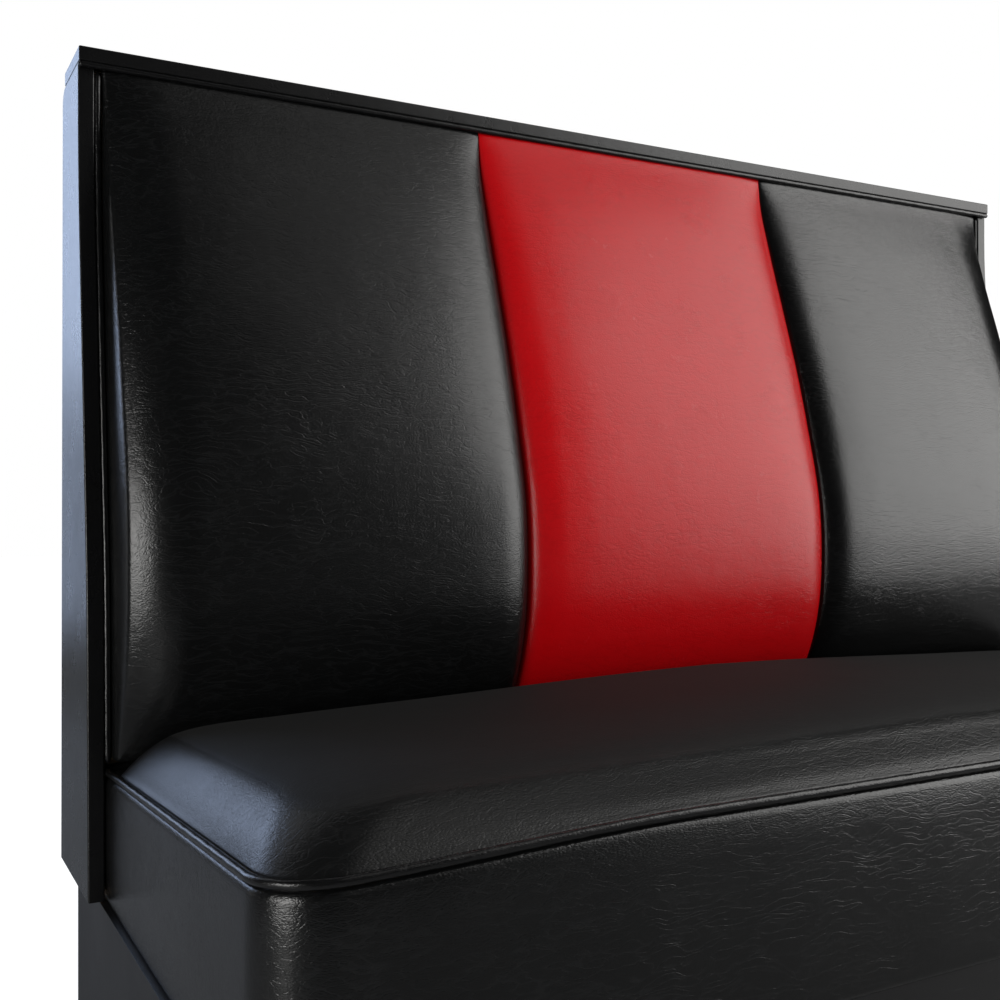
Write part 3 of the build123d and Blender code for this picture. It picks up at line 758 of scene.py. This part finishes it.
def cushion_ring(side_in, front_in, rear_in, front_radius, rear_radius):
    """Closed outline on the deck, from the middle of the left front corner."""
    side_count, corner_count, front_count = cushion_counts
    half, front, rear = seat_half - side_in, seat_front + front_in, cushion_rear - rear_in
    left_corner = corner_arc(front_radius - half, front + front_radius, front_radius, 180, 270, corner_count)
    across = np.linspace(front_radius - half, half - front_radius, front_count, endpoint=False)
    right_corner = corner_arc(half - front_radius, front + front_radius, front_radius, 270, 360, corner_count)
    side = np.linspace(front + front_radius, rear - rear_radius, side_count, endpoint=False)
    rear_right = corner_arc(half - rear_radius, rear - rear_radius, rear_radius, 0, 90, corner_count)
    back = np.linspace(half - rear_radius, rear_radius - half, front_count, endpoint=False)
    rear_left = corner_arc(rear_radius - half, rear - rear_radius, rear_radius, 90, 180, corner_count)
    side_back = np.linspace(rear - rear_radius, front + front_radius, side_count, endpoint=False)
    ring = np.concatenate([
        left_corner, np.stack([across, np.full(front_count, front)], -1), right_corner,
        np.stack([np.full(side_count, half), side], -1), rear_right,
        np.stack([back, np.full(front_count, rear)], -1), rear_left,
        np.stack([np.full(side_count, -half), side_back], -1),
    ])
    return np.roll(ring, -(corner_count // 2), axis=0)


def patch_inside(ring):
    """Grid of points inside a ring, between its four sides."""
    side_count, corner_count, front_count = cushion_counts
    wide, deep = front_count + corner_count, side_count + corner_count
    front, right = ring[: wide + 1], ring[wide: wide + deep + 1]
    rear = ring[wide + deep: 2 * wide + deep + 1][::-1]
    left = np.concatenate([ring[2 * wide + deep:], ring[:1]])[::-1]
    u = np.linspace(0, 1, wide + 1)[None, :, None]
    v = np.linspace(0, 1, deep + 1)[:, None, None]
    corners = (1 - u) * ((1 - v) * ring[0] + v * rear[0]) + u * ((1 - v) * front[-1] + v * rear[-1])
    return (1 - v) * front[None] + v * rear[None] + (1 - u) * left[:, None] + u * right[:, None] - corners


crown_insets = (0.030, 0.060, 0.100, 0.180, 0.280, 0.380, 0.480, 0.5681)
crown_rises = (0.0, 0.0020, 0.0046, 0.0076, 0.0108, 0.0144, 0.0174, 0.0188)


def crown_height(x, along):
    """Crown of the cushion above its rolled edge."""
    from_side = curve_through(crown_insets, crown_rises, np.clip(seat_half - np.abs(x), 0.03, seat_half))
    from_front = np.clip((along - seat_front - 0.03) / 0.14, 0, 1)
    from_rear = np.clip((cushion_rear - along) / 0.045, 0, 1)
    return from_side * (1 - (1 - from_front) ** 2.2) * (0.4 + 0.6 * smooth_step(from_rear))


roll_insets = (0.0046, 0.0082, 0.0134, 0.0200, 0.0272, 0.0335, 0.0415, 0.0525, 0.0670)
roll_heights = (0.0, 0.0060, 0.0138, 0.0222, 0.0298, 0.0346, 0.0380, 0.0403, 0.0414)
roll_rears = (0.0285, 0.0268, 0.0235, 0.0190, 0.0140, 0.0100, 0.0060, 0.0020, -0.0030)
roll_steps = np.linspace(0, len(roll_insets) - 1, 21)
roll_insets = curve_through(range(len(roll_insets)), roll_insets, roll_steps)
roll_heights = curve_through(range(len(roll_heights)), roll_heights, roll_steps)
roll_rears = curve_through(range(len(roll_rears)), roll_rears, roll_steps)


def roll_ring(inset, rear_out):
    """The cushion's outline at one level of its roll; its rear reaches back under the lumbar."""
    ring = cushion_ring(inset, inset, -rear_out, corner_radius + 0.35 * inset, 0.012 + 0.3 * inset)
    at_rear = smooth_step((ring[:, 1] - cushion_rear - rear_out + 0.05) / 0.05)
    at_end = smooth_step((np.abs(ring[:, 0]) - 0.528) / 0.03)
    ring[:, 1] += 0.45 * np.maximum(rear_out, 0) * at_rear * at_end
    return ring


cushion_points = []
ring_size = 2 * (cushion_counts[2] + cushion_counts[0]) + 4 * cushion_counts[1]
for inset, height, rear_out in zip(roll_insets, roll_heights, roll_rears):
    ring = roll_ring(inset, rear_out)
    seam_part = 1 - smooth_step(height / 0.034)
    up = height + welt_rise(ring[:, 0], ring[:, 1]) * seam_part
    up = up + crown_height(ring[:, 0], ring[:, 1]) * smooth_step(height / 0.041)
    cushion_points.append(on_deck(ring[:, 0], ring[:, 1], up))
ring_rows = len(cushion_points)
cushion_faces = ring_faces(ring_rows, ring_size)
cushion_points = np.concatenate(cushion_points)


def close_ring(points, faces, start, plan, height_at):
    """Close the ring that starts at this index with a grid over its inside."""
    side_count, corner_count, front_count = cushion_counts
    wide, deep = front_count + corner_count, side_count + corner_count
    patch = patch_inside(plan)
    inner = patch[1:-1, 1:-1].reshape(-1, 2)
    first = len(points)

    def corner(i, j):
        if j == 0:
            return start + i
        if i == wide:
            return start + wide + j
        if j == deep:
            return start + wide + deep + wide - i
        if i == 0:
            return start + 2 * wide + deep + deep - j
        return first + (j - 1) * (wide - 1) + i - 1

    for j in range(deep):
        for i in range(wide):
            faces.append((corner(i, j), corner(i + 1, j), corner(i + 1, j + 1), corner(i, j + 1)))
    filled = on_deck(inner[:, 0], inner[:, 1], height_at(inner[:, 0], inner[:, 1]))
    return np.concatenate([points, filled])


cushion_points = close_ring(
    cushion_points, cushion_faces, (ring_rows - 1) * ring_size,
    roll_ring(roll_insets[-1], roll_rears[-1]),
    lambda x, along: roll_heights[-1] + crown_height(x, along),
)
cushion_points = close_ring(
    cushion_points, cushion_faces, 0, roll_ring(roll_insets[0], roll_rears[0]),
    lambda x, along: 0.0006 * np.ones_like(x),
)
cushion = mesh_piece("seat_cushion_cover", cushion_points, cushion_faces)
cushion_held = np.zeros(len(cushion_points))
cushion_held[: ring_size * 2] = 1.0  # the sewn edge
one_grid = (len(cushion_points) - ring_rows * ring_size) // 2
cushion_held[len(cushion_points) - one_grid:] = 1.0  # what lies on the deck
swell_cover(cushion, cushion_held, foam_pressure, 0.0015)
refine(cushion)
seat_vinyl = vinyl(
    "seat_vinyl", (0.0016, 0.0017, 0.0017), (0.0032, 0.0033, 0.0034), rough=(0.3, 0.38), worn_top=0.76,
)
settle(cushion, "seat", seat_vinyl)
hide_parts("seat_cushion")

# The cover runs on behind the cushion as a flat tail, stapled over the deck.
tail_rows = []
tail_half, tail_ripple = 0.5676, 0.00025
tail_folds = (  # along the deck, above it: flat over the deck, then a hem folded over itself
    (-0.0700, 0.0014), (-0.0300, 0.0013), (-0.0225, 0.0016), (-0.0195, 0.0035), (-0.0170, 0.0056),
    (-0.0138, 0.0063), (-0.0108, 0.0054), (-0.0092, 0.0030), (-0.0096, 0.0006), (-0.0200, 0.0004),
    (-0.0700, 0.0004),
)
tail_x = np.linspace(-tail_half, tail_half, 180)
for along, up in tail_folds:
    ripple = tail_ripple * np.sin(tail_x * 83.0) * np.sin(tail_x * 29.0 + 0.7) * (0.0009 < up)
    tail_rows.append(on_deck(tail_x, np.full_like(tail_x, along), up + ripple))
tail = capped_rings("seat_cover_tail", np.stack(tail_rows, axis=1))
settle(tail, "seat", black_vinyl)


# Seat welt: a 6 mm cord wrapped in black vinyl, sewn between the cushion's
# cover and the border. It is one run round the seat from rear to rear.
welt_sides, welt_wobble = 16, 0.00012


def round_edge(away, reach):
    """Quarter circle: 0 at an edge, 1 from reach onwards."""
    return np.sqrt(np.clip(1 - (1 - np.clip(away / reach, 0, 1)) ** 2, 0, 1))


def tube_along(name, path, radius, up):
    """A closed tube along a row of points, slightly uneven as a wrapped cord is."""
    forward = np.gradient(path, axis=0)
    forward /= np.linalg.norm(forward, axis=1, keepdims=True)
    across = np.cross(forward, np.asarray(up, float)[None])
    across /= np.linalg.norm(across, axis=1, keepdims=True)
    upward = np.cross(across, forward)
    length = np.concatenate([[0], np.cumsum(np.linalg.norm(np.diff(path, axis=0), axis=1))])
    ease = round_edge(np.maximum(np.minimum(length, length[-1] - length), 0.05 * radius), radius)
    turn = np.linspace(0, 2 * math.pi, welt_sides, endpoint=False)
    uneven = welt_wobble * np.sin(length * 310.0)[:, None] * np.sin(turn * 3 + length[:, None] * 90.0)
    reach = radius * ease[:, None] + uneven * (ease[:, None] > 0.99)
    rings = path[:, None] + reach[..., None] * (
        across[:, None] * np.cos(turn)[None, :, None] + upward[:, None] * np.sin(turn)[None, :, None]
    )
    return capped_rings(name, rings)


welt_in = 0.0015
welt_plan = seat_outline(welt_in, welt_in, corner_radius - welt_in, -0.0004, (110, 22, 300))
welt_path = on_deck(welt_plan[:, 0], welt_plan[:, 1], welt_rise(welt_plan[:, 0], welt_plan[:, 1]))
deck_up = (0, math.sin(seat_slope), math.cos(seat_slope))
seat_welt = tube_along("seat_welt_cord", welt_path, welt_radius, deck_up)
welt_vinyl = vinyl(
    "welt_vinyl", (0.0018, 0.0018, 0.0019), (0.0036, 0.0036, 0.0038), rough=(0.2, 0.28), crease=0.3,
)
settle(seat_welt, "seat", welt_vinyl)
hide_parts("seat_welt")


# Padded back: three channels of foam, swelled over the lumbar. Each cover is
# sewn to the next down a deep valley, the middle one in red.
# Its crease colour, darker than the red, is painted shade in the creases.
red_vinyl = vinyl(
    "red_vinyl", (0.33, 0.0006, 0.0022), (0.38, 0.0012, 0.003), rough=(0.23, 0.3), crease=0.8, specular=0.21,
    crease_highlight_and_shade=(0.27, 0.0005, 0.0016),
)
cap_front = 0.194
lumbar_forward, channel_crown = 0.096, 0.022
channel_levels = (0.0, 0.04, 0.10, 0.18, 0.27, 0.365, 0.485, 0.60, 0.725, 0.85, 0.94, 0.985, 1.0)
valley_levels = (0.58, 0.67, 0.83, 0.96, 1.0, 0.965, 0.80, 0.61, 0.365, 0.12, -0.02, -0.045, -0.055)
crown_levels = (0.45, 0.72, 0.92, 1.0, 1.0, 1.0, 1.0, 0.97, 0.92, 0.80, 0.48, 0.16, 0.06)
channel_rows, channel_columns = 96, 58
side_drop = 0.026
side_rolls = ((0.5, 0.003, 0.5), (0.5, 0.057, 1.0))  # share, width and fullness, at the end boards
seam_rolls = ((0.55, 0.034, 0.5), (0.45, 0.075, 0.5))  # and at the seams
foot_turn, head_turn = (0.007, 0.009), (0.0025, 0.003)  # depth and height of the turned-in edges
board_foot, board_top = 0.1697, 0.2176


def make_channel(node, low_drop, high_drop):
    """A channel's closed cover: a swelled front, straight sides and a flat back."""
    low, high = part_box(node)
    middle, half = (low.x + high.x) / 2, (high.x - low.x) / 2
    x = middle - half * np.cos(np.linspace(0, math.pi, channel_columns))
    rise = (1 - np.cos(np.linspace(0, math.pi, channel_rows))) / 2
    rise = 0.35 * rise + 0.65 * np.linspace(0, 1, channel_rows)
    z = low.z + (high.z - low.z) * rise
    crown = channel_crown * curve_through(channel_levels, crown_levels, rise)[:, None]
    share = crown / channel_crown
    valley = cap_front - lumbar_forward * curve_through(channel_levels, valley_levels, rise)[:, None]

    def dome(away, drop):
        rolls = side_rolls if drop else seam_rolls
        return sum(
            part * (1 - (1 - np.clip(away / width, 0, 1)) ** 2) ** fullness for part, width, fullness in rolls
        )

    from_low, from_high = dome(x - low.x, low_drop)[None], dome(high.x - x, high_drop)[None]
    front = valley - crown
    front = front + (crown + low_drop * share) * (1 - from_low)
    front = front + (crown + high_drop * share) * (1 - from_high)
    for away, (depth, reach) in ((z - low.z, foot_turn), (high.z - z, head_turn)):
        front = front + depth * (1 - round_edge(away[:, None], reach))
    back = board_foot + (board_top - board_foot) * rise[:, None] + 0 * front
    front = np.minimum(front, back - 0.002)
    across = np.broadcast_to(x, front.shape)
    height = np.broadcast_to(z[:, None], front.shape)
    face = np.stack([across, front, height], -1)
    wall = [face + (np.stack([across, back, height], -1) - face) * step for step in (0.35, 0.7)]
    rear = np.stack([across, back, height], -1)[:, ::-1]
    rings = np.concatenate([
        face, wall[0][:, -1:], wall[1][:, -1:], rear, wall[1][:, :1], wall[0][:, :1],
    ], axis=1)
    rows, columns = rings.shape[:2]
    ends = [tuple(range(start, start + columns)) for start in (0, (rows - 1) * columns)]
    piece = mesh_piece(node + "_cover", rings, ring_faces(rows, columns) + ends)
    loose = smooth_step(np.minimum(x - low.x, high.x - x) / 0.03)[None]
    loose = loose * smooth_step((np.minimum(z - low.z, high.z - z) - 0.006) / 0.03)[:, None]
    held = np.ones((rows, columns))
    held[:, :channel_columns] = 1 - loose
    swell_cover(piece, held.ravel(), foam_pressure, 0.0025)
    refine(piece)
    return piece


for node, low_drop, high_drop, slot, cover in (
    ("back_channel_left", side_drop, 0.0, "black_vinyl", black_vinyl),
    ("back_channel_center", 0.0, 0.0, "red_vinyl", red_vinyl),
    ("back_channel_right", 0.0, side_drop, "black_vinyl", black_vinyl),
):
    channel = settle(make_channel(node, low_drop, high_drop), "booth_frame", cover)
    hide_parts(node)


# End boards and outside back: half-inch board wrapped in the same black vinyl,
# glued and stapled at the rear, so its arrises are soft and its faces smooth.
board_vinyl = vinyl(
    "board_vinyl", (0.0018, 0.0018, 0.0019), (0.0036, 0.0036, 0.0038), rough=(0.24, 0.32), crease=0.15,
)
for node in ("end_board_left", "end_board_right", "outside_back_board"):
    settle(eased_board(node, 0.0016, segments=4), "booth_frame", board_vinyl)


# Side welts: a cord along the inner front edge of each end board, where the
# board's cover meets the outer channel. It follows the board's two soft knees.
def soft_ramp(value, reach):
    """Zero, then a straight slope of 1, with a round knee that reaches this far each way."""
    return np.where(value < -reach, 0.0, np.where(value > reach, value, (value + reach) ** 2 / (4 * reach)))


lower_round, upper_round = 0.048, 0.059  # how far the knees reach
foot_z, lower_knee, upper_knee = 0.329, 0.590, 0.960
foot_front, knee_front, top_front = 0.149, 0.155, 0.199
foot_slope = (knee_front - foot_front) / (lower_knee - foot_z)
knee_slope = (top_front - knee_front) / (upper_knee - lower_knee)
side_welt_z = np.linspace(0.4447, 1.0484, 150)
board_edge = (
    foot_front + foot_slope * (side_welt_z - foot_z)
    + (knee_slope - foot_slope) * soft_ramp(side_welt_z - lower_knee, lower_round)
    - knee_slope * soft_ramp(side_welt_z - upper_knee, upper_round)
)
side_welt_radius, side_welt_x = 0.00285, 0.567
for node, side in (("back_welt_left", -1), ("back_welt_right", 1)):
    across = np.full_like(side_welt_z, side * side_welt_x)
    path = np.stack([across, board_edge + side_welt_radius, side_welt_z], -1)
    side_welt = tube_along(node + "_cord", path, side_welt_radius, (1, 0, 0))
    settle(side_welt, "booth_frame", welt_vinyl)
    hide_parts(node)


# Top cap: a flat half-inch board in black vinyl that closes the frame, with a
# thin cord under its front edge that runs out over both end boards.
settle(eased_board("top_cap", 0.0013, segments=4), "booth_frame", board_vinyl)
cap_half = 0.584
cap_welt_radius, cap_welt_y, cap_welt_z = 0.0028, 0.1959, 1.0515
cap_welt_x = cap_half * np.sin(np.linspace(-math.pi / 2, math.pi / 2, 400))
cap_welt_path = np.stack([
    cap_welt_x, np.full_like(cap_welt_x, cap_welt_y), np.full_like(cap_welt_x, cap_welt_z),
], -1)
cap_welt = tube_along("cap_welt_cord", cap_welt_path, cap_welt_radius, (0, 0, 1))
settle(cap_welt, "booth_frame", welt_vinyl)
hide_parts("cap_welt")
